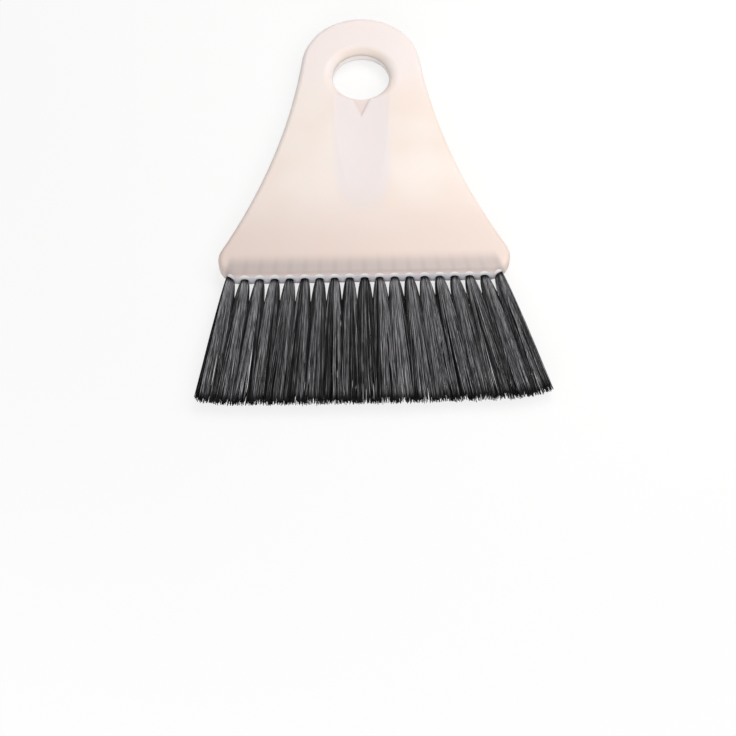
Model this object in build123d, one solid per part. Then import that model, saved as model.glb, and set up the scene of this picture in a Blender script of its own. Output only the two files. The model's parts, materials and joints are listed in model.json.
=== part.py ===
from build123d import *
import math
import os

# A flat hand broom, lying on its back: one moulded plate of translucent polypropylene that is
# both handle and brush block, with a single row of bristle tufts along its wide edge.
# The plate narrows in long hollow flares to a round loop with a hanging hole.
# Each tuft is a bundle of filaments folded in half over a flat wire anchor. The fold is driven
# to the bottom of a blind bore, and the anchor's ends bite into the bore's wall.
# Lengths are in millimetres and angles in degrees.
# The drawing frame has Y = 0 on the bristle edge and Z = 0 on the back face. +Y runs to the
# loop and +Z out of the front face. Every piece is moved to the part's own frame at the end:
# the centre of the hanging hole, half way through the plate.

# Plate outline: four arcs a side, each tangent to the next
handle_length = 148.1
block_width = 133.0
loop_radius = 29.0
corner_radius = 10.0
flare_radius = 300.0

# Plate section: the rounded rims leave a flat wall that is taller than a bore's mouth
plate_thickness = 9.0
edge_round = 2.6
fillet_share = 0.45

# Hanging hole, which flares out to both faces in quarter ellipses
hole_radius = 13.8
loop_wall = 21.3
flare_width = 4.5
flare_depth = 3.0

# V-shaped gate relief in the front face, running out of the hole towards the tufts
gate_width = 9.5
gate_length = 11.5
gate_depth = 1.8

# Shallow hollow for the thumb in the front face, from the hole down towards the tufts
thumb_reach = 75.0
thumb_depth = 0.6

# Bores for the tufts, drilled into the bristle edge in a fan
tuft_count = 19
bore_diameter = 3.7
bore_depth = 11.0
end_margin = 5.3
fan_angle_left = 9.0
fan_angle_right = 15.0

# Wire anchors, one across each bore
anchor_bite = 0.35
anchor_height = 1.8
anchor_thickness = 0.4

# Tufts: a many-sided root packed in the bore, and strands that open out from it
bristle_length = 63.0
trim_crown = 3.0
root_sides = 8
root_clearance = 0.03
fold_cover = 0.9
strand_sides = 3
strand_radius = 0.36
strand_rings = 2
ring_step = 5
strand_bite = 0.12
tip_gap = 0.5
tip_height = 6.6

# One overrun serves every cut
overrun = 2.0

# Centres of the plate's arcs
half_width = block_width / 2
loop_centre = Vector(0, handle_length - loop_radius)
corner_centre = Vector(half_width - corner_radius, corner_radius)
hole_centre = Vector(0, handle_length - loop_wall - hole_radius)

# The straight wall that is left in the hole between its two flares
hole_flare_depth = min(flare_depth, fillet_share * plate_thickness)
hole_wall = plate_thickness - 2 * hole_flare_depth

# The row of bores shares the bristle edge evenly, half way through the plate
bore_radius = bore_diameter / 2
mid_plane = plate_thickness / 2
row_half = half_width - end_margin
tuft_pitch = 2 * row_half / (tuft_count - 1)

# A root fills its bore, its flats hold every strand, and its fold wraps the anchor
root_radius = bore_radius - root_clearance
root_flat = root_radius * math.cos(math.pi / root_sides)
root_length = bore_depth - root_clearance
anchor_length = 2 * (bore_radius + anchor_bite)
anchor_middle = root_length - fold_cover - anchor_height / 2
strand_pitch = (root_flat - strand_radius) / strand_rings

UPWARD = (Align.CENTER, Align.CENTER, Align.MIN)


def direction_angle(start, end):
    """The angle of the line from start to end."""
    return math.degrees(math.atan2(end.Y - start.Y, end.X - start.X))


def flare_centre():
    """The centre of the hollow flare that touches both the loop and the corner from outside."""
    to_loop = flare_radius + loop_radius
    to_corner = flare_radius + corner_radius
    span = corner_centre - loop_centre
    along = (to_loop**2 - to_corner**2 + span.length**2) / (2 * span.length)
    across = math.sqrt(to_loop**2 - along**2)
    forward = span.normalized()
    outward = Vector(-forward.Y, forward.X)
    return loop_centre + forward * along + outward * across


def plate_outline():
    """The plate seen from the front: bristle edge, corners, flares and loop."""
    centre = flare_centre()
    at_corner = direction_angle(corner_centre, centre)
    at_loop = direction_angle(loop_centre, centre)
    flare_start = direction_angle(centre, corner_centre)
    flare_sweep = (at_loop - at_corner + 180) % 360 - 180
    side = Curve() + [
        Line((0, 0), (corner_centre.X, 0)),
        CenterArc(corner_centre, corner_radius, -90, 90 + at_corner),
        CenterArc(centre, flare_radius, flare_start, flare_sweep),
        CenterArc(loop_centre, loop_radius, at_loop, 90 - at_loop),
    ]
    return make_face(side + mirror(side, Plane.YZ))


def rounded_plate():
    """The plate before it is cut, with the rims of both its faces rounded."""
    plate = extrude(plate_outline(), plate_thickness)
    rims = plate.faces().filter_by(Axis.Z).edges()
    return fillet(rims, min(edge_round, fillet_share * plate_thickness))


def hanging_hole():
    """The cutter for the hole: its straight wall, and a flare from there to each face."""
    rim = hole_radius + flare_width
    wall = hole_wall / 2
    face = plate_thickness / 2
    end = face + overrun
    section = Curve() + [
        Line((hole_radius, -wall), (hole_radius, wall)),
        EllipticalCenterArc((rim, wall), flare_width, hole_flare_depth, 90, arc_size=90),
        Polyline((rim, face), (rim, end), (0, end), (0, -end), (rim, -end), (rim, -face)),
        EllipticalCenterArc((rim, -wall), flare_width, hole_flare_depth, 180, arc_size=90),
    ]
    cutter = revolve(Plane.XZ * make_face(section), Axis.Z)
    return Pos(hole_centre.X, hole_centre.Y, mid_plane) * cutter


def gate_relief():
    """The wedge of a V-shaped recess with a level floor, from inside the hole to its point."""
    inner = hole_radius
    spread = gate_width / 2 * (gate_length + inner) / gate_length
    wedge = make_face(Polyline((0, -gate_length), (spread, inner), (-spread, inner), close=True))
    floor = Pos(0, hole_centre.Y - hole_radius, plate_thickness - gate_depth)
    return floor * extrude(wedge, gate_depth + overrun)


def thumb_hollow():
    """A slender ring segment that leaves a shallow half oval, as wide as the hanging hole.

    It is deepest at the hole's middle line, where the hole has taken the plate away, and runs
    out to nothing at its reach.
    """
    across_radius = (hole_radius**2 + thumb_depth**2) / (2 * thumb_depth)
    along_radius = (thumb_reach**2 + thumb_depth**2) / (2 * thumb_depth)
    bottom = plate_thickness - thumb_depth
    half_chord = hole_radius + overrun
    rim = bottom + across_radius - math.sqrt(across_radius**2 - half_chord**2)
    section = Curve() + [
        ThreePointArc((-half_chord, rim), (0, bottom), (half_chord, rim)),
        Line((half_chord, rim), (half_chord, rim + overrun)),
        Line((half_chord, rim + overrun), (-half_chord, rim + overrun)),
        Line((-half_chord, rim + overrun), (-half_chord, rim)),
    ]
    face = Plane.XZ.offset(-hole_centre.Y) * make_face(section)
    hub = Axis((0, hole_centre.Y, bottom + along_radius), (1, 0, 0))
    turn = math.degrees(math.asin((thumb_reach + overrun) / along_radius))
    return revolve(face.rotate(hub, -turn), hub, turn)


def tuft_places():
    """The X of every bore's mouth, from left to right."""
    return [index * tuft_pitch - row_half for index in range(tuft_count)]


def mouth_height(place):
    """How far the bristle edge has drawn back at this X, where the corner rounds it."""
    past = max(0, abs(place) - corner_centre.X)
    return corner_radius - math.sqrt(corner_radius**2 - past**2)


def lean_angle(place):
    """How far a bore leans outward. The right side is drilled in a wider fan than the left."""
    widest = fan_angle_right if place > 0 else fan_angle_left
    return widest * place / row_half


def bore_mouth(place):
    """The middle of a bore's mouth, turned so that +Y runs up the bore."""
    return Pos(place, mouth_height(place), mid_plane) * Rot(0, 0, lean_angle(place))


def tuft_reach(place):
    """A tuft's free length. The trim rises towards the ends of the row, late and then fast."""
    return bristle_length - trim_crown * abs(place / row_half) ** 3


def tip_rooms():
    """For each tuft, how far its cut end lies from the nearer neighbour's."""
    tips = [
        (bore_mouth(place) * Pos(0, -tuft_reach(place), 0)).position for place in tuft_places()
    ]
    steps = [(right - left).length for left, right in zip(tips, tips[1:])]
    return [min(pair) for pair in zip(steps[:1] + steps, steps + steps[-1:])]


def tuft_bore():
    """The flat-ended cutter for a bore, which starts outside its mouth."""
    shaft = Cylinder(bore_radius, bore_depth + overrun, align=UPWARD)
    return Pos(0, -overrun, 0) * Rot(-90, 0, 0) * shaft


def tuft_anchor():
    """The flat wire across a bore, inside the filaments' fold, with both ends in the wall."""
    return Pos(0, anchor_middle, 0) * Box(anchor_length, anchor_height, anchor_thickness)


def tuft_root():
    """The packed filaments in a bore: a plug whose inner end folds over the anchor."""
    outline = RegularPolygon(root_radius, root_sides)
    plug = Rot(-90, 0, 0) * extrude(outline, root_length)
    straight = root_length - root_radius
    legs = Pos(0, straight / 2, 0) * Box(bore_diameter, straight, bore_diameter)
    bend = Pos(0, straight, 0) * Rot(0, 90, 0) * extrude(outline, bore_radius, both=True)
    return (plug & (legs + bend)) - tuft_anchor()


def strand_grid():
    """Where the strands leave a root: one in the middle, then rings of five, ten and so on."""
    grid = [(0, 0)]
    for ring in range(1, strand_rings + 1):
        turns = [2 * math.pi * step / (ring * ring_step) for step in range(ring * ring_step)]
        radius = ring * strand_pitch
        grid += [(radius * math.cos(turn), radius * math.sin(turn)) for turn in turns]
    return grid


def tuft(reach, room):
    """One whole tuft: its root, and strands that open out evenly and never cross."""
    grid = strand_grid()
    spread_x = ((room - tip_gap) / 2 - strand_radius) / max(x for x, z in grid)
    spread_z = (tip_height / 2 - strand_radius) / max(z for x, z in grid)
    strands = []
    for x, z in grid:
        start = Plane(origin=(x, strand_bite, z), x_dir=(1, 0, 0), z_dir=(0, -1, 0))
        face = (start * RegularPolygon(strand_radius, strand_sides)).face()
        run = Vector(x * (spread_x - 1), -reach - strand_bite, z * (spread_z - 1))
        strands.append(Solid.extrude(face, run))
    return tuft_root().solid().fuse(*strands)


def handle():
    """The moulded plate with its hole, hollow, relief, bores and the anchors' seats."""
    cutters = [hanging_hole(), thumb_hollow(), gate_relief()]
    for place in tuft_places():
        cutters += [bore_mouth(place) * tuft_bore(), bore_mouth(place) * tuft_anchor()]
    return rounded_plate() - cutters


def build():
    """Every piece by name, moved to the part's own frame."""
    pieces = {"handle": handle()}
    for number, (place, room) in enumerate(zip(tuft_places(), tip_rooms()), start=1):
        pieces[f"bristle_tuft_{number:02d}"] = bore_mouth(place) * tuft(tuft_reach(place), room)
    anchors = [bore_mouth(place) * tuft_anchor() for place in tuft_places()]
    pieces["tuft_anchors"] = Compound([anchor.solid() for anchor in anchors])
    to_part = Pos(-hole_centre.X, -hole_centre.Y, -mid_plane)
    return {name: Compound((to_part * piece).solids()) for name, piece in pieces.items()}


os.makedirs("parts", exist_ok=True)
for node, shape in build().items():
    export_step(shape, f"parts/{node}.step")
    print(node, len(shape.solids()), "solid(s)", round(shape.volume), "mm3")
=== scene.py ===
"""Dresses a flat hand broom: a translucent moulded plate with one row of bristle tufts.

Sizes in the classes are in millimetres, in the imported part's frame: the origin is the centre of
the hanging hole, half way through the plate. +Y runs from the bristles to the loop, and +Z out
of the front face. Blender's own lengths are in metres, so sizes pass through MM on their way.
"""

from __future__ import annotations

import json
import logging
import math
import random
from dataclasses import dataclass, field
from enum import Enum
from typing import Any

import bpy
from mathutils import Matrix, Quaternion, Vector

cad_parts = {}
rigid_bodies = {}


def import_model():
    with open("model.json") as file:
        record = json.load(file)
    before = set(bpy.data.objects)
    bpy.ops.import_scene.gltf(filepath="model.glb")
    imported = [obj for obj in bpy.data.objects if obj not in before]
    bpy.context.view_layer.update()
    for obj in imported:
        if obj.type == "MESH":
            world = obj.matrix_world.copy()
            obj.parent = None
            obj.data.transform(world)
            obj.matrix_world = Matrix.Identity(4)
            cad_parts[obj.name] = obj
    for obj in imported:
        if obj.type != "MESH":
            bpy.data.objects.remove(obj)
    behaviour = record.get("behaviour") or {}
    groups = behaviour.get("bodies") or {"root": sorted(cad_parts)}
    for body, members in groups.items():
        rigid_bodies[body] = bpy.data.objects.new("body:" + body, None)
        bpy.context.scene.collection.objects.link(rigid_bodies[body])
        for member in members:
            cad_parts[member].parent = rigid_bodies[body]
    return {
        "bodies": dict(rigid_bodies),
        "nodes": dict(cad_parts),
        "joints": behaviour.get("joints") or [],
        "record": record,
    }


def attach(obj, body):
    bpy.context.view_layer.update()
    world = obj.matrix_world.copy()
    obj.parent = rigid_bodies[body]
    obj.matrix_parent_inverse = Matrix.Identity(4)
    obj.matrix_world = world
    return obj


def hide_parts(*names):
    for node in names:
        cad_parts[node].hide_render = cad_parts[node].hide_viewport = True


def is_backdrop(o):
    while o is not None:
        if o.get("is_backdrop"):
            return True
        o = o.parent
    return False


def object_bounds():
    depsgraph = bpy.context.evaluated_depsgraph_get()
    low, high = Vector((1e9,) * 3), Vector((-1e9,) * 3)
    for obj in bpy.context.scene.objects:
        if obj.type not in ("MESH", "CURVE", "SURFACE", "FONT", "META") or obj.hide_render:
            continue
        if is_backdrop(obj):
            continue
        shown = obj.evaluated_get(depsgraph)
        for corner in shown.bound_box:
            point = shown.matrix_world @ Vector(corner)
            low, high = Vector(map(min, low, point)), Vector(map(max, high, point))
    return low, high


LOG = logging.getLogger("hand_broom")
MM = 0.001
WHITE = "FFFFFF"

# Points that each turn by this angle from the last one fill a disc evenly
GOLDEN_ANGLE = math.pi * (3 - math.sqrt(5))

# A material's or the world's nodes, and one node's input or output
Tree = bpy.types.NodeTree
Socket = bpy.types.NodeSocket

# Two values between which a mark fades in: it is nothing at the first and whole at the second
Fade = tuple[float, float]

# The least and the most that a value may be, as in an even random draw
Range = tuple[float, float]


class RowSide(Enum):
    """The two halves of the tuft row, each with the lean of its outermost bore in degrees."""

    LEFT = 9.0
    RIGHT = 15.0

    @classmethod
    def at(cls, place: float) -> RowSide:
        """The half of the row that this X lies in."""
        return cls.RIGHT if place > 0 else cls.LEFT


def linear(colour: str) -> tuple[float, float, float, float]:
    """Turns an sRGB hex colour to the linear colour that Blender's sockets take.

    Args:
        colour: Six hex digits, such as "F4EAE4".

    Returns:
        Red, green, blue and an alpha of 1.
    """
    channels = [int(colour[start : start + 2], 16) / 255 for start in (0, 2, 4)]
    red, green, blue = (
        c / 12.92 if c <= 0.04045 else ((c + 0.055) / 1.055) ** 2.4 for c in channels
    )
    return red, green, blue, 1.0


def add_node(
    tree: Tree, kind: str, inputs: dict[str | int, Any] | None = None, **settings: Any
) -> bpy.types.Node:
    """Adds one node to a material, with its settings and links.

    Args:
        tree: The node tree that gets the node.
        kind: The node's Blender type.
        inputs: A value or an output socket for each input, by name or number.
        settings: Attributes of the node itself.

    Returns:
        The new node.
    """
    node = tree.nodes.new(kind)
    for name, value in settings.items():
        setattr(node, name, value)
    for key, value in (inputs or {}).items():
        if isinstance(value, Socket):
            tree.links.new(value, node.inputs[key])
        else:
            node.inputs[key].default_value = value
    return node


def soft_step(tree: Tree, value: Socket, fade: Fade, past: float = 0.0) -> Socket:
    """A soft step from 0 to 1, which may rise or fall with the value.

    Args:
        tree: The material's node tree.
        value: The socket to test.
        fade: Where the step is still 0, and where it has reached 1.
        past: The value that both are measured from.

    Returns:
        The step's socket.
    """
    start, end = (past + limit for limit in fade)
    return add_node(
        tree,
        "ShaderNodeMapRange",
        {
            "Value": value,
            "From Min": min(start, end),
            "From Max": max(start, end),
            "To Min": 0.0 if start < end else 1.0,
            "To Max": 1.0 if start < end else 0.0,
        },
        interpolation_type="SMOOTHSTEP",
    ).outputs[0]


def product(tree: Tree, *factors: Socket) -> Socket:
    """Multiplies sockets together.

    Args:
        tree: The material's node tree.
        factors: The sockets, at least one.

    Returns:
        The product's socket.
    """
    whole = factors[0]
    for factor in factors[1:]:
        both = {0: whole, 1: factor}
        whole = add_node(tree, "ShaderNodeMath", both, operation="MULTIPLY").outputs[0]
    return whole


def background_rays(tree: Tree) -> Socket:
    """Tells the rays that show the background from those that light the broom.

    Args:
        tree: The node tree of the floor's material or of the world.

    Returns:
        A socket that is 1 for camera, glossy and transmission rays, and otherwise 0.
    """
    rays = add_node(tree, "ShaderNodeLightPath")
    seen = rays.outputs["Is Camera Ray"]
    for name in ("Is Glossy Ray", "Is Transmission Ray"):
        either = {0: seen, 1: rays.outputs[name]}
        seen = add_node(tree, "ShaderNodeMath", either, operation="MAXIMUM").outputs[0]
    return seen


def empty_material(name: str) -> bpy.types.Material:
    """Makes a material with an empty node tree.

    Args:
        name: The material's name.

    Returns:
        The new material.
    """
    material = bpy.data.materials.new(name)
    material.use_nodes = True
    material.node_tree.nodes.clear()
    return material


def dress(piece: bpy.types.Object, material: bpy.types.Material) -> None:
    """Gives a piece one material all over."""
    piece.data.materials.clear()
    piece.data.materials.append(material)


@dataclass(frozen=True)
class TuftRow:
    """The row of bores along the bristle edge, as it is drilled."""

    count: int = 19
    half_length: float = 61.2
    edge_y: float = -113.0
    corner_x: float = 56.5
    corner_radius: float = 10.0
    bore_radius: float = 1.85
    bore_depth: float = 11.0
    free_length: float = 62.0

    @property
    def pitch(self) -> float:
        """The distance from bore to bore."""
        return 2 * self.half_length / (self.count - 1)

    def places(self) -> list[float]:
        """The X of every bore's mouth, from left to right."""
        return [index * self.pitch - self.half_length for index in range(self.count)]

    def lean(self, place: float) -> float:
        """How far the bore at this X leans outward, in degrees."""
        return RowSide.at(place).value * place / self.half_length

    def mouth(self, place: float) -> Vector:
        """Finds a bore's mouth, which follows the plate's rounded corners.

        Args:
            place: The bore's X.

        Returns:
            The middle of its mouth.
        """
        past = max(0.0, abs(place) - self.corner_x)
        drawn_back = self.corner_radius - math.sqrt(self.corner_radius**2 - past**2)
        return Vector((place, self.edge_y + drawn_back, 0.0))

    def tip(self, place: float) -> Vector:
        """Finds the cut end of a tuft.

        Args:
            place: The X of the tuft's bore, or any other X along the row.

        Returns:
            The middle of the cut end.
        """
        lean = math.radians(self.lean(place))
        outward = Vector((math.sin(lean), -math.cos(lean), 0.0))
        return self.mouth(place) + self.free_length * outward

    def tip_room(self, place: float) -> float:
        """The distance from this tuft's tip to its neighbours', on average."""
        tips = [self.tip(place + side * self.pitch) for side in (-0.5, 0.5)]
        return (tips[1] - tips[0]).length

    def convergence(self, side: RowSide) -> float:
        """How much a bore leans for each millimetre of its place, as a slope."""
        return math.tan(math.radians(side.value)) / self.half_length


@dataclass(frozen=True)
class RootMarks:
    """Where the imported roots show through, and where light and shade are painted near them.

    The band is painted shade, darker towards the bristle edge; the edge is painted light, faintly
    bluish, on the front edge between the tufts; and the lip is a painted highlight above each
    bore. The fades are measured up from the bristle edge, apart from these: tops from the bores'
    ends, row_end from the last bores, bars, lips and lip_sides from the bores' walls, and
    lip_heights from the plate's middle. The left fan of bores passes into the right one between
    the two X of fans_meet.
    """

    fans_meet: Range = (-1.0, 1.0)
    band: Fade = (65.0, 3.0)
    tops: Fade = (3.0, -8.0)
    drilled_end: Fade = (-0.5, 2.0)
    row_end: Fade = (4.0, 0.5)
    bars: Fade = (0.4, -1.4)
    # Fade of the painted light, faintly bluish, on the front edge between the tufts
    painted_edge_light: Fade = (0.6, 0.1)
    lips: Fade = (2.2, 1.6)
    lip_sides: Fade = (0.8, 0.0)
    lip_heights: Fade = (0.6, 1.6)
    lip_depths: Fade = (2.2, 1.4)

    def masks(self, tree: Tree, in_mm: Socket, row: TuftRow) -> dict[str, Socket]:
        """Works out where the roots, the painted shade band, the painted edge light and the lips'
        painted highlights lie.

        Args:
            tree: The material's node tree.
            in_mm: The point on the piece, in millimetres.
            row: The bores.

        Returns:
            The masks by name: band, roots, bars, edge and lip.
        """
        x, y, z = add_node(tree, "ShaderNodeSeparateXYZ", {0: in_mm}).outputs
        depth = add_node(
            tree, "ShaderNodeMath", {0: y, 1: row.edge_y}, operation="SUBTRACT"
        ).outputs[0]
        left, right = (row.convergence(side) for side in RowSide)
        slope = add_node(
            tree,
            "ShaderNodeMapRange",
            {
                "Value": x,
                "From Min": self.fans_meet[0],
                "From Max": self.fans_meet[1],
                "To Min": left,
                "To Max": right,
            },
        ).outputs[0]
        drawn_in = product(tree, slope, depth)
        narrowing = add_node(
            tree, "ShaderNodeMath", {0: 1.0, 1: drawn_in}, operation="SUBTRACT"
        ).outputs[0]
        # A point's place is the X of the mouth that a bore through it would have
        place = add_node(
            tree, "ShaderNodeMath", {0: x, 1: narrowing}, operation="DIVIDE"
        ).outputs[0]
        aside = add_node(
            tree, "ShaderNodeMath", {0: place, 1: row.pitch / 2}, operation="PINGPONG"
        ).outputs[0]
        radial = add_node(tree, "ShaderNodeCombineXYZ", {"X": aside, "Y": z}).outputs[0]
        distance = add_node(
            tree, "ShaderNodeVectorMath", {0: radial}, operation="LENGTH"
        ).outputs[1]
        spread = add_node(tree, "ShaderNodeMath", {0: place}, operation="ABSOLUTE").outputs[0]
        within_row = soft_step(tree, spread, self.row_end, past=row.half_length)
        packed = soft_step(tree, depth, self.tops, past=row.bore_depth)
        inside = soft_step(tree, depth, self.drilled_end)
        bar = soft_step(tree, aside, self.bars, past=row.bore_radius)
        lip = soft_step(tree, distance, self.lips, past=row.bore_radius)
        beside = soft_step(tree, aside, self.lip_sides, past=row.bore_radius)
        above = soft_step(tree, z, self.lip_heights)
        front = soft_step(tree, depth, self.lip_depths)
        roots = product(tree, packed, inside, within_row)
        return {
            # Painted shade, darker towards the bristle edge
            "band": soft_step(tree, depth, self.band),
            "roots": roots,
            "bars": product(tree, roots, bar),
            # Painted light, faintly bluish, on the front edge between the tufts
            "edge": soft_step(tree, depth, self.painted_edge_light),
            # Painted highlight on the upper lip of each bore
            "lip": product(tree, lip, beside, above, front, within_row),
        }


@dataclass(frozen=True)
class ReliefMarks:
    """Where the moulding is thinned or marked, which changes how milky it looks.

    The thumb hollow is a half oval with a blunt end below the hanging hole. The gate relief is
    the V at the hole's lower edge, and gets painted shade, as does the hole's upper flare. The
    hole's straight wall gets painted light. The crease shade is a painted shade line in the hole
    along the crease at the top of the hole's straight wall. The outline's fade is in shares of
    the hollow's size. The others are named for the size that they are measured from, apart from
    bored and flared, which are measured from the hole's radius, and the crease shade's, which is
    measured from its line.
    """

    hole_radius: float = 13.8
    wall_top: float = 1.5
    rim_start: float = 2.0
    hollow_reach: float = 80.0
    hollow_floor: float = 3.9
    gate_half_width: float = 5.2
    gate_point: float = -25.3
    gate_floor: float = 2.7
    outline_fade: Fade = (1.22, 0.74)
    floor_fade: Fade = (-0.4, -0.1)
    bored_fade: Fade = (0.9, 0.2)
    flared_fade: Fade = (5.5, 0.5)
    gate_side_fade: Fade = (0.5, 0.0)
    gate_point_fade: Fade = (-0.5, 0.0)
    gate_floor_fade: Fade = (0.6, 0.1)
    # Fade of the painted shade line along the crease in the hole
    crease_shade_fade: Fade = (0.55, 0.2)

    def masks(self, tree: Tree, in_mm: Socket) -> dict[str, Socket]:
        """Works out where the loop, the hanging hole's parts, the hollow and the gate lie.

        Args:
            tree: The material's node tree.
            in_mm: The point on the piece, in millimetres.

        Returns:
            The masks by name: loop, hollow, rim, gate, wall and witness.
        """
        x, y, z = add_node(tree, "ShaderNodeSeparateXYZ", {0: in_mm}).outputs
        to_shares = (1 / self.hole_radius, 1 / self.hollow_reach, 0.0)
        shares, level = (
            add_node(
                tree, "ShaderNodeVectorMath", {0: in_mm, 1: factors}, operation="MULTIPLY"
            ).outputs[0]
            for factors in (to_shares, (1.0, 1.0, 0.0))
        )
        across, down, _ = add_node(tree, "ShaderNodeSeparateXYZ", {0: shares}).outputs
        # A high power of the way down keeps the oval wide for long and ends it bluntly
        blunt = product(tree, down, down, down, down)
        oval = add_node(tree, "ShaderNodeCombineXYZ", {"X": across, "Y": blunt}).outputs[0]
        out, radius = (
            add_node(tree, "ShaderNodeVectorMath", {0: flat}, operation="LENGTH").outputs[1]
            for flat in (oval, level)
        )
        aside = add_node(tree, "ShaderNodeMath", {0: x}, operation="ABSOLUTE").outputs[0]
        over_seam = add_node(
            tree, "ShaderNodeMath", {0: z, 1: self.wall_top}, operation="SUBTRACT"
        ).outputs[0]
        away = add_node(tree, "ShaderNodeMath", {0: over_seam}, operation="ABSOLUTE").outputs[0]
        below = soft_step(tree, y, (-self.hole_radius / 2, -self.hole_radius))
        bored = soft_step(tree, radius, self.bored_fade, past=self.hole_radius)
        return {
            "loop": soft_step(tree, y, (-2 * self.hole_radius, self.hole_radius)),
            "hollow": product(
                tree,
                soft_step(tree, out, self.outline_fade),
                soft_step(tree, z, self.floor_fade, past=self.hollow_floor),
                below,
            ),
            # Painted shade on the upper flare of the hanging hole
            "rim": product(
                tree,
                soft_step(tree, radius, self.flared_fade, past=self.hole_radius),
                soft_step(tree, y, (self.rim_start, self.hole_radius)),
            ),
            # Painted shade in the gate recess below the hole
            "gate": product(
                tree,
                soft_step(tree, z, self.gate_floor_fade, past=self.gate_floor),
                soft_step(tree, aside, self.gate_side_fade, past=self.gate_half_width),
                soft_step(tree, y, self.gate_point_fade, past=self.gate_point),
                below,
            ),
            # Painted light on the hole's straight wall
            "wall": product(tree, bored, soft_step(tree, z, (self.wall_top, 0.0))),
            # Painted shade line along the crease at the top of the hole's wall
            "crease_shade": product(tree, bored, soft_step(tree, away, self.crease_shade_fade)),
        }


@dataclass(frozen=True)
class Layer:
    """One colour of the plate and the mark that it shows in.

    It covers what is below it where the mark reaches the whole value. A mark goes up to 1, so
    with a higher value something of what is below always shows.
    """

    mark: str
    colour: str
    whole: float = 1.0


@dataclass(frozen=True)
class MouldedPolypropylene:
    """Natural polypropylene, injection moulded in a satin mould.

    Uncoloured polypropylene is milky: light goes in and comes out a few millimetres away, which
    softens every edge. The mould's fine blast texture gives a broad, weak gloss. The layers are
    its colours from the lowest up: it looks darker where it is thin or has dark roots behind it.
    Painted shade lies on the hole's upper flare, in the gate recess, along the crease at the top
    of the hole's wall and in a broad band towards the bristle edge. Painted light lies on the
    hole's wall and, faintly bluish, on the front edge between the tufts, and a painted highlight
    on the lip above each bore.
    """

    milky: str = "F3E9E2"
    warm: str = "F0E2D8"
    layers: tuple[Layer, ...] = (
        Layer("loop", "F3E9E6", 1.1),
        Layer("hollow", "ECE4E3", 1.2),
        # Painted shade on the upper flare of the hanging hole
        Layer("rim", "EADFD6", 1.2),
        # Painted shade in the gate recess below the hole
        Layer("gate", "E8DBD7"),
        # Painted light on the hole's straight wall
        Layer("wall", "FFFAF5"),
        # Painted shade line along the crease at the top of the hole's wall
        Layer("crease_shade", "CFC4BE", 1.2),
        # Painted shade, darker towards the bristle edge
        Layer("band", "E7D7CE"),
        Layer("roots", "C7BAB5"),
        Layer("bars", "AFA5A4", 3.0),
        # Painted light, faintly bluish, on the front edge between the tufts
        Layer("edge", "F0EAEE"),
        # Painted highlight on the upper lip of each bore
        Layer("lip", "FFFAF5"),
    )
    relief: ReliefMarks = ReliefMarks()
    roots: RootMarks = RootMarks()
    ior: float = 1.49
    roughness: float = 0.44
    gloss_swing: float = 0.06
    scatter: float = 0.6
    scatter_radius: tuple[float, float, float] = (1.0, 0.8, 0.7)
    scatter_depth: float = 3.0
    cloud_width: float = 34.0
    cloud_detail: float = 1.5
    cloud_fade: Fade = (0.36, 0.68)
    # The blast texture's real grain is under 0.1 mm. It is drawn coarser, so that it shows.
    texture_grain: float = 0.7
    texture_detail: float = 2.0
    texture_height: float = 0.05
    texture_strength: float = 0.25

    def material(self, row: TuftRow) -> bpy.types.Material:
        """Makes the material, with the tufts' roots faintly seen through the plate.

        Args:
            row: The bores whose packed roots show through.

        Returns:
            The finished material.
        """
        material = empty_material("polypropylene_moulded_satin")
        tree = material.node_tree
        coords = add_node(tree, "ShaderNodeTexCoord")
        in_mm = add_node(
            tree,
            "ShaderNodeVectorMath",
            {0: coords.outputs["Object"], "Scale": 1 / MM},
            operation="SCALE",
        ).outputs[0]
        cloud, grain = (
            add_node(
                tree, "ShaderNodeTexNoise", {"Vector": in_mm, "Scale": 1 / size, "Detail": detail}
            ).outputs[0]
            for size, detail in (
                (self.cloud_width, self.cloud_detail),
                (self.texture_grain, self.texture_detail),
            )
        )
        colour = self.mix(tree, cloud, self.milky, self.warm, self.cloud_fade)
        masks = self.relief.masks(tree, in_mm) | self.roots.masks(tree, in_mm, row)
        for layer in self.layers:
            colour = self.mix(tree, masks[layer.mark], colour, layer.colour, (0.0, layer.whole))
        gloss = add_node(
            tree,
            "ShaderNodeMapRange",
            {
                "Value": cloud,
                "To Min": self.roughness - self.gloss_swing,
                "To Max": self.roughness + self.gloss_swing,
            },
        )
        bump = add_node(
            tree,
            "ShaderNodeBump",
            {
                "Height": grain,
                "Strength": self.texture_strength,
                "Distance": self.texture_height * MM,
            },
        )
        shader = add_node(
            tree,
            "ShaderNodeBsdfPrincipled",
            {
                "Base Color": colour,
                "Roughness": gloss.outputs[0],
                "IOR": self.ior,
                "Subsurface Weight": self.scatter,
                "Subsurface Radius": self.scatter_radius,
                "Subsurface Scale": self.scatter_depth * MM,
                "Normal": bump.outputs[0],
            },
            subsurface_method="RANDOM_WALK",
        )
        add_node(tree, "ShaderNodeOutputMaterial", {"Surface": shader.outputs[0]})
        return material

    def mix(
        self, tree: Tree, mask: Socket, under: Socket | str, over: str, fade: Fade
    ) -> Socket:
        """Lays one colour over another where a mask rises.

        Args:
            tree: The material's node tree.
            mask: How much of the upper colour shows.
            under: The lower colour, as hex or as a socket.
            over: The upper colour, as hex.
            fade: The mask values at which the upper colour starts and is whole.

        Returns:
            The mixed colour's socket.
        """
        # A Mix node for colours has its factor at 0, its colours at 6 and 7, its result at 2
        mixed = add_node(
            tree,
            "ShaderNodeMix",
            {
                0: soft_step(tree, mask, fade),
                6: linear(under) if isinstance(under, str) else under,
                7: linear(over),
            },
            data_type="RGBA",
        )
        return mixed.outputs[2]


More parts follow.
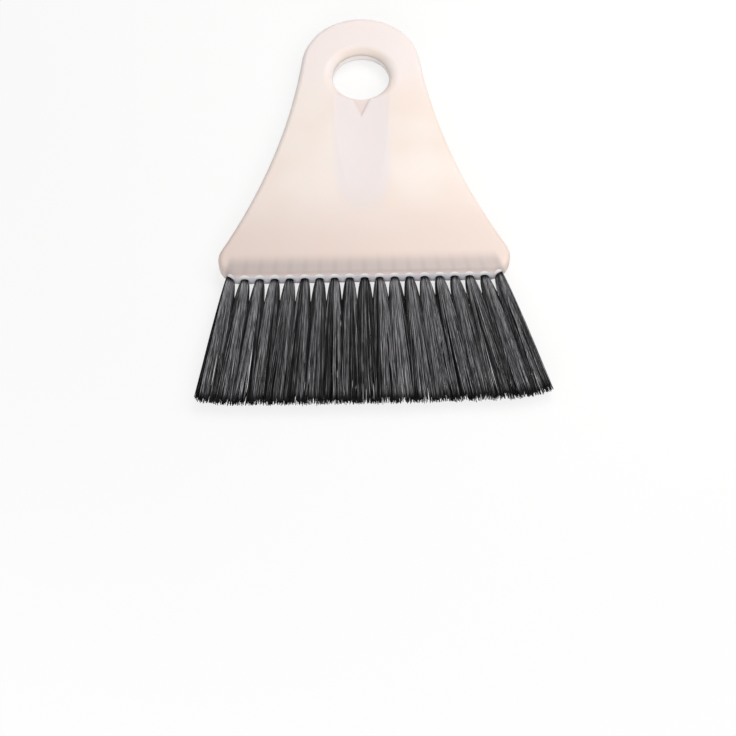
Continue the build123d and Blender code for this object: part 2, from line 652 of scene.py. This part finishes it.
@dataclass(frozen=True)
class ExtrudedFilament:
    """Charcoal polypropylene filament, drawn through a die.

    Each thread is smooth, so it throws a thin bright line along its length where it faces the
    light. The threads differ in shade at random, and their shade also holds painted shade and
    painted light from the mesh. The streaks along them are partly scuffing and partly painted
    glints, which lighten or darken a thread's own shade.
    """

    darkest: str = "08080A"
    lightest: str = "9C9BA0"
    ior: float = 1.49
    roughness: float = 0.36
    gloss_swing: float = 0.08
    hidden_gloss: float = 0.05
    open_gloss: float = 0.6
    open_shade: float = 0.6
    streak_length: float = 7.0
    streak_width: float = 0.55
    streak_limits: Range = (0.36, 0.64)
    streak_shades: Range = (0.2, 1.35)

    def material(self) -> bpy.types.Material:
        """Makes the material, which takes each thread's shade from the mesh.

        Returns:
            The finished material.
        """
        material = empty_material("polypropylene_drawn_filament")
        tree = material.node_tree
        # Each thread's shade: painted shade low in the tuft and at its ends, painted light near
        # the bore
        shade = add_node(
            tree, "ShaderNodeAttribute", attribute_name="shade", attribute_type="GEOMETRY"
        ).outputs["Fac"]
        coords = add_node(tree, "ShaderNodeTexCoord")
        across, along = (1 / (size * MM) for size in (self.streak_width, self.streak_length))
        stretched = add_node(
            tree,
            "ShaderNodeVectorMath",
            {0: coords.outputs["Object"], 1: (across, along, across)},
            operation="MULTIPLY",
        )
        streaks = add_node(
            tree, "ShaderNodeTexNoise", {"Vector": stretched.outputs[0], "Scale": 1.0}
        ).outputs[0]
        # Streaks, partly scuffing and partly painted glints along the threads
        wear_and_glints = add_node(
            tree,
            "ShaderNodeMapRange",
            {
                "Value": streaks,
                "From Min": self.streak_limits[0],
                "From Max": self.streak_limits[1],
                "To Min": self.streak_shades[0],
                "To Max": self.streak_shades[1],
            },
        )
        shade_wear_and_glints = product(tree, shade, wear_and_glints.outputs[0])
        colour = add_node(
            tree,
            "ShaderNodeMix",
            {0: shade_wear_and_glints, 6: linear(self.darkest), 7: linear(self.lightest)},
            data_type="RGBA",
        )
        gloss = add_node(
            tree,
            "ShaderNodeMapRange",
            {
                "Value": streaks,
                "To Min": self.roughness - self.gloss_swing,
                "To Max": self.roughness + self.gloss_swing,
            },
        )
        # A thread deep in the bundle has no clear way to the lamps, so it throws no bright line
        reached = add_node(
            tree,
            "ShaderNodeMapRange",
            {
                "Value": shade,
                "From Max": self.open_shade,
                "To Min": self.hidden_gloss,
                "To Max": self.open_gloss,
            },
        )
        shader = add_node(
            tree,
            "ShaderNodeBsdfPrincipled",
            {
                "Base Color": colour.outputs[2],
                "Roughness": gloss.outputs[0],
                "IOR": self.ior,
                "Specular IOR Level": reached.outputs[0],
            },
        )
        add_node(tree, "ShaderNodeOutputMaterial", {"Surface": shader.outputs[0]})
        return material


@dataclass(frozen=True)
class GalvanisedWire:
    """Flat steel wire, rolled and galvanised.

    The zinc's grain shows as soft lighter and darker grey patches, and the rolls leave it dull.
    """

    zinc: str = "B9BBBD"
    dull_zinc: str = "8F9295"
    metallic: float = 1.0
    roughness: float = 0.45
    spangle: float = 1.2

    def material(self) -> bpy.types.Material:
        """Makes the material.

        Returns:
            The finished material.
        """
        material = empty_material("steel_wire_galvanised")
        tree = material.node_tree
        coords = add_node(tree, "ShaderNodeTexCoord")
        grain = add_node(
            tree,
            "ShaderNodeTexVoronoi",
            {"Vector": coords.outputs["Object"], "Scale": 1 / (self.spangle * MM)},
        )
        colour = add_node(
            tree,
            "ShaderNodeMix",
            {0: grain.outputs["Distance"], 6: linear(self.zinc), 7: linear(self.dull_zinc)},
            data_type="RGBA",
        )
        shader = add_node(
            tree,
            "ShaderNodeBsdfPrincipled",
            {
                "Base Color": colour.outputs[2],
                "Metallic": self.metallic,
                "Roughness": self.roughness,
            },
        )
        add_node(tree, "ShaderNodeOutputMaterial", {"Surface": shader.outputs[0]})
        return material


@dataclass(frozen=True)
class StudioPaper:
    """Matt white background paper, lit from behind, which takes a pale soft shadow.

    The light behind it grows with the distance from the broom, so that the paper's far edge
    can't be told from the white wall beyond.
    """

    seen: str = "FDFDFC"
    bounced: str = "DAD8D6"
    backlight: float = 0.76
    near: float = 130.0
    far: float = 450.0

    def material(self) -> bpy.types.Material:
        """Makes the material: whiter to the camera and to reflections than to other light.

        Returns:
            The finished material.
        """
        material = empty_material("paper_matt_white")
        tree = material.node_tree
        seen = background_rays(tree)
        white, grey = (
            add_node(tree, "ShaderNodeBsdfDiffuse", {"Color": linear(colour)})
            for colour in (self.seen, self.bounced)
        )
        glow = add_node(tree, "ShaderNodeEmission", {"Color": linear(WHITE), "Strength": 1.0})
        coords = add_node(tree, "ShaderNodeTexCoord")
        away = add_node(
            tree, "ShaderNodeVectorMath", {0: coords.outputs["Object"]}, operation="LENGTH"
        )
        behind = add_node(
            tree,
            "ShaderNodeMapRange",
            {
                "Value": away.outputs[1],
                "From Min": self.near * MM,
                "From Max": self.far * MM,
                "To Min": self.backlight,
            },
            interpolation_type="SMOOTHSTEP",
        )
        backlit = add_node(
            tree,
            "ShaderNodeMixShader",
            {0: behind.outputs[0], 1: white.outputs[0], 2: glow.outputs[0]},
        )
        mixed = add_node(
            tree, "ShaderNodeMixShader", {0: seen, 1: grey.outputs[0], 2: backlit.outputs[0]}
        )
        add_node(tree, "ShaderNodeOutputMaterial", {"Surface": mixed.outputs[0]})
        return material


@dataclass
class PlateHandle:
    """The moulded plate, which is both the handle and the brush block."""

    finish: MouldedPolypropylene = field(default_factory=MouldedPolypropylene)
    node: str = "handle"

    def build(self, frame: dict[str, Any], row: TuftRow) -> None:
        """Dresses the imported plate, whose shape is already right."""
        dress(frame["nodes"][self.node], self.finish.material(row))
        LOG.info("%s: dressed in moulded polypropylene", self.node)


@dataclass
class WireAnchors:
    """The flat wires across the bores, which hold the folded filaments down."""

    finish: GalvanisedWire = field(default_factory=GalvanisedWire)
    node: str = "tuft_anchors"

    def build(self, frame: dict[str, Any]) -> None:
        """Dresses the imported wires, whose shape is already right."""
        dress(frame["nodes"][self.node], self.finish.material())
        LOG.info("%s: dressed in galvanised steel", self.node)


@dataclass(frozen=True)
class FilamentHabit:
    """How the filaments of one tuft stray from an even bundle.

    A scatter is the width of a bell curve, across the row or up, and a share says how many of
    the filaments are short or loose. The pressed values say how much of its scatter the lowest
    filament loses to what it lies on. The clumps' turn is in radians.
    """

    clump_turn: float = 0.3
    clump_scatter: float = 0.7
    clump_scatter_up: float = 0.3
    clump_slack: float = 0.4
    trimmed: float = -0.3
    trim_scatter: float = 0.18
    short_share: float = 0.05
    short_by: Range = (1.0, 6.0)
    scatter: float = 0.5
    scatter_up: float = 0.25
    pressed: float = 0.9
    pressed_up: float = 0.8
    loose_share: float = 0.08
    loose_by: Range = (0.8, 2.4)
    wave: Range = (0.05, 0.3)
    wave_length: Range = (24.0, 48.0)


@dataclass(frozen=True)
class FilamentShade:
    """How light the filaments of one tuft look, from 0 to 1.

    A filament's shade swings along its length, as a thread catches the light here and there. It
    is darkest at its two ends and low in the tuft, where little light gets in, and lightest
    just outside the bore, where the bundle is still whole and catches the most. The two draws
    are the shapes of beta curves that favour dark and light over the middle.
    """

    clump_draw: tuple[float, float] = (0.7, 0.9)
    clump_weight: float = 0.55
    own_draw: tuple[float, float] = (0.6, 0.9)
    own_weight: float = 0.45
    lightness: float = 1.42
    shelter: float = 1.6
    glint: Range = (0.2, 0.6)
    glint_length: Range = (14.0, 34.0)
    bared: float = 0.7
    bared_length: float = 12.0
    lightest: float = 0.86
    contrast: float = 1.6
    dark_mouth: float = 0.8
    mouth_fade: float = 1.2
    tip_shade: float = 0.05
    tip_fade: float = 4.0

    def whole(self, clump_shade: float, own_shade: float, low: float) -> float:
        """A filament's shade before it swings, darker the lower it lies in the tuft."""
        drawn = self.clump_weight * clump_shade + self.own_weight * own_shade
        return drawn * (self.lightness * (1 - low) ** self.shelter)

    def at(self, shade: float, run: float, length: float) -> float:
        """Works out what is left of a filament's shade at one point of it.

        Args:
            shade: The filament's shade with its swing there.
            run: How far out of the mouth the point is.
            length: The filament's whole length out of the mouth.

        Returns:
            The shade to draw.
        """
        bared = 1 + self.bared * math.exp(-run / self.bared_length)
        lit = min(self.lightest, max(0.0, shade * bared)) ** self.contrast
        out_of_mouth = max(0.0, run - self.dark_mouth) / self.mouth_fade
        from_tip = self.tip_shade + (length - run) / self.tip_fade
        return lit * min(1.0, out_of_mouth, from_tip)


@dataclass(frozen=True)
class Clump:
    """Filaments of one tuft that bunch together: their place, drift at the tip and shade."""

    place: Vector
    drift: Vector
    shade: float


@dataclass
class BristleTuft:
    """One tuft: a bundle of filaments, each folded in half round the bore's wire anchor.

    The tuft's own frame has its origin in the bore's mouth, +Y up the bore and +Z out of the
    plate's front face. At the tips, half the bundle spans tip_share of tip_room. The free
    values are for a side without a neighbour, at an end of the row. The powers say how late a
    filament opens, rises, drifts or is pulled to its clump on its way out. The stations are the
    shares of its free length at which it has its points.
    """

    number: int
    mouth: Vector
    lean: float
    reach: float
    tip_room: float
    ends_row: tuple[bool, bool]
    first_seed: int = 900
    filament_pairs: int = 60
    # Real filaments are finer. They are drawn 0.34 mm thick, so that they show.
    filament_radius: float = 0.17
    filament_sides: int = 5
    packed_radius: float = 1.62
    wire_depth: float = 9.17
    wire_half_gap: float = 0.36
    fold_depth: float = 0.75
    fold_steps: int = 4
    least_fold: float = 0.4
    clumps: int = 16
    clump_pull: float = 0.5
    pull_power: float = 0.8
    drift_power: float = 1.6
    tip_share: float = 0.51
    shared_spread: float = 1.9
    free_spread: float = 1.1
    free_leave: float = 0.2
    opening_power: float = 0.8
    opening_power_drop: float = 0.42
    least_opening_power: float = 0.5
    tip_half_height: float = 3.6
    rise_power: float = 1.1
    sag: float = 0.12
    half_height_limit: float = 4.2
    habit: FilamentHabit = FilamentHabit()
    shade: FilamentShade = FilamentShade()
    stations: tuple[float, ...] = (
        0.0, 0.019, 0.038, 0.07, 0.13, 0.21, 0.31, 0.43, 0.56, 0.7, 0.83, 0.93, 0.968, 1.0
    )

    def build(self, material: bpy.types.Material) -> bpy.types.Object:
        """Makes the bundle as one mesh and lets it stand for the tuft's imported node.

        Args:
            material: The filaments' finish.

        Returns:
            The new piece.
        """
        rng = random.Random(self.first_seed + self.number)
        clumps = self.make_clumps(rng)
        points: list[Vector] = []
        faces: list[tuple[int, ...]] = []
        shades: list[float] = []
        for rank, (upper, lower) in enumerate(self.packed_pairs()):
            even = (2 * rank + 1) / self.filament_pairs - 1
            path, path_shades = self.folded_path(upper, lower, even, clumps, rng)
            ring_points, ring_faces = self.thread(path, len(points))
            points += ring_points
            faces += ring_faces
            shades += [shade for shade in path_shades for _ in range(self.filament_sides)]
        seat = (
            Matrix.Translation(self.mouth * MM)
            @ Matrix.Rotation(math.radians(self.lean), 4, "Z")
            @ Matrix.Scale(MM, 4)
        )
        name = f"tuft_filaments_{self.number:02d}"
        mesh = bpy.data.meshes.new(name)
        mesh.from_pydata([seat @ point for point in points], [], faces)
        # A thread's sides have four corners each, and its two cut ends have one for every side
        mesh.polygons.foreach_set("use_smooth", [len(face) == 4 for face in faces])
        mesh.attributes.new("shade", "FLOAT", "POINT").data.foreach_set("value", shades)
        mesh.validate()
        piece = bpy.data.objects.new(name, mesh)
        bpy.context.scene.collection.objects.link(piece)
        dress(piece, material)
        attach(piece, "root")
        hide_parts(f"bristle_tuft_{self.number:02d}")
        return piece

    def spiral_spot(self, index: int, count: int, turned: float = 0.0) -> Vector:
        """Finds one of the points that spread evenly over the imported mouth.

        Args:
            index: The point's number, from 0 in the middle.
            count: How many points there are.
            turned: How far it is moved along its ring, in radians.

        Returns:
            The point.
        """
        radius = self.packed_radius * math.sqrt((index + 0.5) / count)
        turn = index * GOLDEN_ANGLE + turned
        return Vector((radius * math.cos(turn), 0.0, radius * math.sin(turn)))

    def packed_pairs(self) -> list[tuple[Vector, Vector]]:
        """Finds where each filament's halves pass the mouth, above and below the wire.

        Returns:
            The upper and the lower point of each filament, from left to right.
        """
        ends = 2 * self.filament_pairs
        spots = sorted(
            (self.spiral_spot(index, ends) for index in range(ends)), key=lambda spot: spot.z
        )
        lower, upper = (
            sorted(half, key=lambda spot: spot.x)
            for half in (spots[: self.filament_pairs], spots[self.filament_pairs :])
        )
        return list(zip(upper, lower))

    def make_clumps(self, rng: random.Random) -> list[Clump]:
        """Makes the clumps that the filaments bunch into, spread over the mouth.

        Args:
            rng: The tuft's own random draws.

        Returns:
            The clumps.
        """
        clumps = []
        for index in range(self.clumps):
            turned = rng.uniform(-self.habit.clump_turn, self.habit.clump_turn)
            sideways = rng.gauss(0.0, self.habit.clump_scatter)
            upward = rng.gauss(0.0, self.habit.clump_scatter_up)
            clumps.append(
                Clump(
                    place=self.spiral_spot(index, self.clumps, turned),
                    drift=Vector((sideways * self.leave(sideways), 0.0, upward)),
                    shade=rng.betavariate(*self.shade.clump_draw),
                )
            )
        return clumps

    def leave(self, way: float) -> float:
        """How freely a filament wanders towards a side: 1 inside the row, little at its ends."""
        return self.free_leave if self.ends_row[way > 0] else 1.0

    def folded_path(
        self,
        upper: Vector,
        lower: Vector,
        even: float,
        clumps: list[Clump],
        rng: random.Random,
    ) -> tuple[list[Vector], list[float]]:
        """The line of one filament, from one cut end round the wire to the other.

        Args:
            upper: Where its upper half passes the mouth.
            lower: Where its lower half passes the mouth.
            even: Its place if all lay side by side, from -1 at the left to 1 at the right.
            clumps: The tuft's clumps.
            rng: The tuft's own random draws.

        Returns:
            The points that the filament follows, and its shade from 0 to 1 at each of them.
        """
        up_leg, up_shades = self.free_leg(upper, even, clumps, rng)
        down_leg, down_shades = self.free_leg(lower, even, clumps, rng)
        above = self.beside_wire(upper, 1)
        below = self.beside_wire(lower, -1)
        round_wire = [above]
        for step in range(1, self.fold_steps):
            turn = math.pi * step / self.fold_steps
            point = above.lerp(below, (1 - math.cos(turn)) / 2)
            outer = self.least_fold + above.z / self.packed_radius
            point.y += self.fold_depth * math.sin(turn) * outer
            round_wire.append(point)
        round_wire.append(below)
        path = up_leg[::-1] + round_wire + down_leg
        return path, up_shades[::-1] + [0.0] * len(round_wire) + down_shades

    def beside_wire(self, spot: Vector, side: int) -> Vector:
        """Finds where half a filament passes the wire.

        Args:
            spot: Where it passes the mouth.
            side: 1 above the wire and -1 below it.

        Returns:
            The point beside the wire.
        """
        share = min(1.0, abs(spot.z) / self.packed_radius)
        clear = self.wire_half_gap + share * (self.packed_radius - self.wire_half_gap)
        width = math.sqrt(max(0.0, self.packed_radius**2 - clear**2))
        across = max(-width, min(width, spot.x))
        return Vector((across, self.wire_depth, side * clear))

    def opened(self, spot: Vector, even: float, share: float) -> Vector:
        """Where a point of the mouth lies further out, once the bundle has opened.

        The lower filaments are pressed flat against what the broom lies on, so they open sooner
        and wider than the upper ones, side by side, and close the gaps between the tufts from
        below. At the ends of the row they open less on the free side.

        Args:
            spot: The point in the mouth.
            even: Its place if all lay side by side, from -1 at the left to 1 at the right.
            share: How far out, as a share of the free length.

        Returns:
            The point's place across the bundle.
        """
        low = self.lowness(spot)
        level = spot.x / self.packed_radius * (1 - low) + even * low
        spread = self.free_spread if self.ends_row[level > 0] else self.shared_spread
        wide = self.tip_share * self.tip_room * (1 - low + low * spread) * level
        power = max(self.least_opening_power, self.opening_power - self.opening_power_drop * low)
        high = self.tip_half_height / self.packed_radius
        up = 1 + (high - 1) * share**self.rise_power
        return Vector((spot.x + (wide - spot.x) * share**power, 0.0, spot.z * up))

    def lowness(self, spot: Vector) -> float:
        """How low a point of the mouth lies: 0 at its top and 1 at its bottom."""
        return min(1.0, max(0.0, (1 - spot.z / self.packed_radius) / 2))

    def free_leg(
        self, spot: Vector, even: float, clumps: list[Clump], rng: random.Random
    ) -> tuple[list[Vector], list[float]]:
        """Half a filament, from the mouth to its cut end.

        Args:
            spot: Where it passes the mouth.
            even: Its place if all lay side by side, from -1 at the left to 1 at the right.
            clumps: The tuft's clumps, of which it bends towards a near one.
            rng: The tuft's own random draws.

        Returns:
            Its points, the mouth's first, and its shade from 0 to 1 at each of them.
        """
        habit, shade = self.habit, self.shade
        clump = min(
            clumps,
            key=lambda one: (one.place - spot).length + rng.uniform(0.0, habit.clump_slack),
        )
        low = self.lowness(spot)
        length = self.reach + rng.gauss(habit.trimmed, habit.trim_scatter)
        if rng.random() < habit.short_share:
            length -= rng.uniform(*habit.short_by) * (1 - low)
        stray = Vector((rng.gauss(0.0, habit.scatter), 0.0, rng.gauss(0.0, habit.scatter_up)))
        stray.x *= (1 - habit.pressed * low) * self.leave(stray.x)
        stray.z *= 1 - habit.pressed_up * low
        if rng.random() < habit.loose_share:
            way = rng.choice((-1, 1))
            stray.x += way * rng.uniform(*habit.loose_by) * self.leave(way)
        wave, wave_length = rng.uniform(*habit.wave) * (1 - low), rng.uniform(*habit.wave_length)
        glint, glint_length = rng.uniform(*shade.glint), rng.uniform(*shade.glint_length)
        wave_turn, glint_turn = rng.uniform(0.0, math.tau), rng.uniform(0.0, math.tau)
        whole_shade = shade.whole(clump.shade, rng.betavariate(*shade.own_draw), low)
        leg, shades = [], []
        for share in self.stations:
            run = length * share
            pull = self.clump_pull * (1 - low) * share**self.pull_power
            middle = self.opened(clump.place, clump.place.x / self.packed_radius, share)
            point = self.opened(spot, even, share).lerp(middle, pull)
            point += (clump.drift * (1 - low) + stray) * share**self.drift_power
            point.x += wave * share * math.sin(math.tau * run / wave_length + wave_turn)
            point.y = -run
            sagged = point.z - self.sag * (1 - share)
            point.z = max(-self.half_height_limit, min(self.half_height_limit, sagged))
            leg.append(point)
            swing = 1 + glint * math.sin(math.tau * run / glint_length + glint_turn)
            shades.append(shade.at(whole_shade * swing, run, length))
        return leg, shades

    def thread(
        self, path: list[Vector], first: int
    ) -> tuple[list[Vector], list[tuple[int, ...]]]:
        """Wraps a filament's line in a many-sided thread with two flat cut ends.

        Args:
            path: The points that the filament follows.
            first: The number of the first new point in the whole mesh.

        Returns:
            The thread's points and its faces.
        """
        points = []
        sides = self.filament_sides
        turns = [math.tau * side / sides for side in range(sides)]
        for index, point in enumerate(path):
            ahead = path[min(index + 1, len(path) - 1)] - path[max(index - 1, 0)]
            ahead.normalize()
            across = (Vector((1, 0, 0)) - ahead * ahead.x).normalized()
            rise = ahead.cross(across)
            points += [
                point + self.filament_radius * (math.cos(turn) * across + math.sin(turn) * rise)
                for turn in turns
            ]
        faces: list[tuple[int, ...]] = []
        for ring in range(len(path) - 1):
            start = first + ring * sides
            for side in range(sides):
                other = (side + 1) % sides
                faces.append(
                    (start + side, start + other, start + sides + other, start + sides + side)
                )
        last = first + (len(path) - 1) * sides
        faces.append(tuple(first + side for side in reversed(range(sides))))
        faces.append(tuple(last + side for side in range(sides)))
        return points, faces


@dataclass
class Bristles:
    """All the tufts in their bores."""

    row: TuftRow
    finish: ExtrudedFilament = field(default_factory=ExtrudedFilament)

    def build(self) -> None:
        """Makes every tuft from left to right."""
        material = self.finish.material()
        for number, place in enumerate(self.row.places(), start=1):
            tuft = BristleTuft(
                number=number,
                mouth=self.row.mouth(place),
                lean=self.row.lean(place),
                reach=self.row.free_length,
                tip_room=self.row.tip_room(place),
                ends_row=(number == 1, number == self.row.count),
            )
            piece = tuft.build(material)
            LOG.info("%s: %d faces", piece.name, len(piece.data.polygons))


@dataclass(frozen=True)
class Softbox:
    """A rectangular lamp that faces the broom, with its direction in degrees."""

    name: str
    azimuth: float
    elevation: float
    distance: float
    width: float
    height: float
    watts: float
    tint: str

    def place(self, aim: Vector) -> None:
        """Hangs the lamp at its distance from a point and turns it there.

        Args:
            aim: The point, in millimetres.
        """
        around, above = math.radians(self.azimuth), math.radians(self.elevation)
        towards = Vector(
            (
                math.cos(above) * math.sin(around),
                math.cos(above) * math.cos(around),
                math.sin(above),
            )
        )
        lamp = bpy.data.lights.new(self.name, "AREA")
        lamp.shape = "RECTANGLE"
        lamp.size, lamp.size_y = self.width * MM, self.height * MM
        lamp.energy = self.watts
        lamp.color = linear(self.tint)[:3]
        holder = bpy.data.objects.new(self.name, lamp)
        holder.location = (aim + self.distance * towards) * MM
        holder.rotation_mode = "QUATERNION"
        holder.rotation_quaternion = (-towards).to_track_quat("-Z", "Y")
        bpy.context.scene.collection.objects.link(holder)
        LOG.info("%s: %g W", self.name, self.watts)


@dataclass
class Studio:
    """The pale floor under the broom, the soft light round it and the room's even light."""

    paper: StudioPaper = field(default_factory=StudioPaper)
    floor_half: float = 3000.0
    aim: tuple[float, float, float] = (0.0, -80.0, 0.0)
    room_grey: str = "F4F5F7"
    room_strength: float = 0.37
    # Name, azimuth, elevation, distance, width, height, watts and tint
    softboxes: tuple[Softbox, ...] = (
        Softbox("key_softbox", 24.0, 54.0, 600.0, 300.0, 300.0, 1.2, "FFFBF7"),
        Softbox("side_softbox", 88.0, 46.0, 340.0, 180.0, 180.0, 0.35, "FFFAF5"),
        Softbox("front_softbox", 184.0, 24.0, 800.0, 700.0, 400.0, 2.7, "FDFBFF"),
        Softbox("back_strip", -8.0, 58.0, 900.0, 900.0, 220.0, 0.6, "FBFCFF"),
    )

    def build(self, floor_z: float) -> None:
        """Sets up the floor, the lamps and the world.

        Args:
            floor_z: The floor's height in metres.
        """
        half = self.floor_half * MM
        corners = [(-half, -half), (half, -half), (half, half), (-half, half)]
        mesh = bpy.data.meshes.new("studio_floor")
        mesh.from_pydata([(x, y, floor_z) for x, y in corners], [], [(0, 1, 2, 3)])
        floor = bpy.data.objects.new("studio_floor", mesh)
        bpy.context.scene.collection.objects.link(floor)
        dress(floor, self.paper.material())
        floor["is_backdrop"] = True
        for softbox in self.softboxes:
            softbox.place(Vector(self.aim))
        self.light_room()

    def light_room(self) -> None:
        """Lights the room evenly, and shows white where the camera sees past the floor."""
        world = bpy.data.worlds.new("studio_room")
        world.use_nodes = True
        tree = world.node_tree
        tree.nodes.clear()
        seen = background_rays(tree)
        even, white = (
            add_node(tree, "ShaderNodeBackground", {"Color": linear(colour), "Strength": strength})
            for colour, strength in ((self.room_grey, self.room_strength), (WHITE, 1.0))
        )
        mixed = add_node(
            tree, "ShaderNodeMixShader", {0: seen, 1: even.outputs[0], 2: white.outputs[0]}
        )
        add_node(tree, "ShaderNodeOutputWorld", {"Surface": mixed.outputs[0]})
        bpy.context.scene.world = world


@dataclass(frozen=True)
class BenchCamera:
    """The camera at the photograph's viewing angle, fitted to the hole and the block's edges."""

    aim: tuple[float, float, float] = (0.8, -158.6, 0.0)
    distance: float = 705.0
    elevation: float = 62.3
    roll: float = 1.05
    lens: float = 78.26
    sensor: float = 36.0
    nearest: float = 10.0
    farthest: float = 20000.0

    def build(self) -> None:
        """Makes the camera and sets it as the scene's own."""
        above = math.radians(self.elevation)
        back = Vector((0.0, -math.cos(above), math.sin(above)))
        data = bpy.data.cameras.new("bench_camera")
        data.lens, data.sensor_width = self.lens, self.sensor
        data.clip_start, data.clip_end = self.nearest * MM, self.farthest * MM
        camera = bpy.data.objects.new("bench_camera", data)
        camera.location = (Vector(self.aim) + self.distance * back) * MM
        camera.rotation_mode = "QUATERNION"
        turn = Quaternion((0.0, 0.0, 1.0), math.radians(-self.roll))
        camera.rotation_quaternion = (-back).to_track_quat("-Z", "Y") @ turn
        bpy.context.scene.collection.objects.link(camera)
        bpy.context.scene.camera = camera
        LOG.info("camera: %g mm lens", self.lens)


def main() -> None:
    """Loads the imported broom, then builds and dresses its sub-assemblies in order."""
    logging.basicConfig(level=logging.INFO, format="%(message)s")
    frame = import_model()
    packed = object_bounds()
    bpy.context.scene.view_settings.view_transform = "Standard"
    BenchCamera().build()
    row = TuftRow()
    PlateHandle().build(frame, row)
    WireAnchors().build(frame)
    Bristles(row).build()
    Studio().build(floor_z=packed[0].z)


if __name__ == "__main__":
    main()
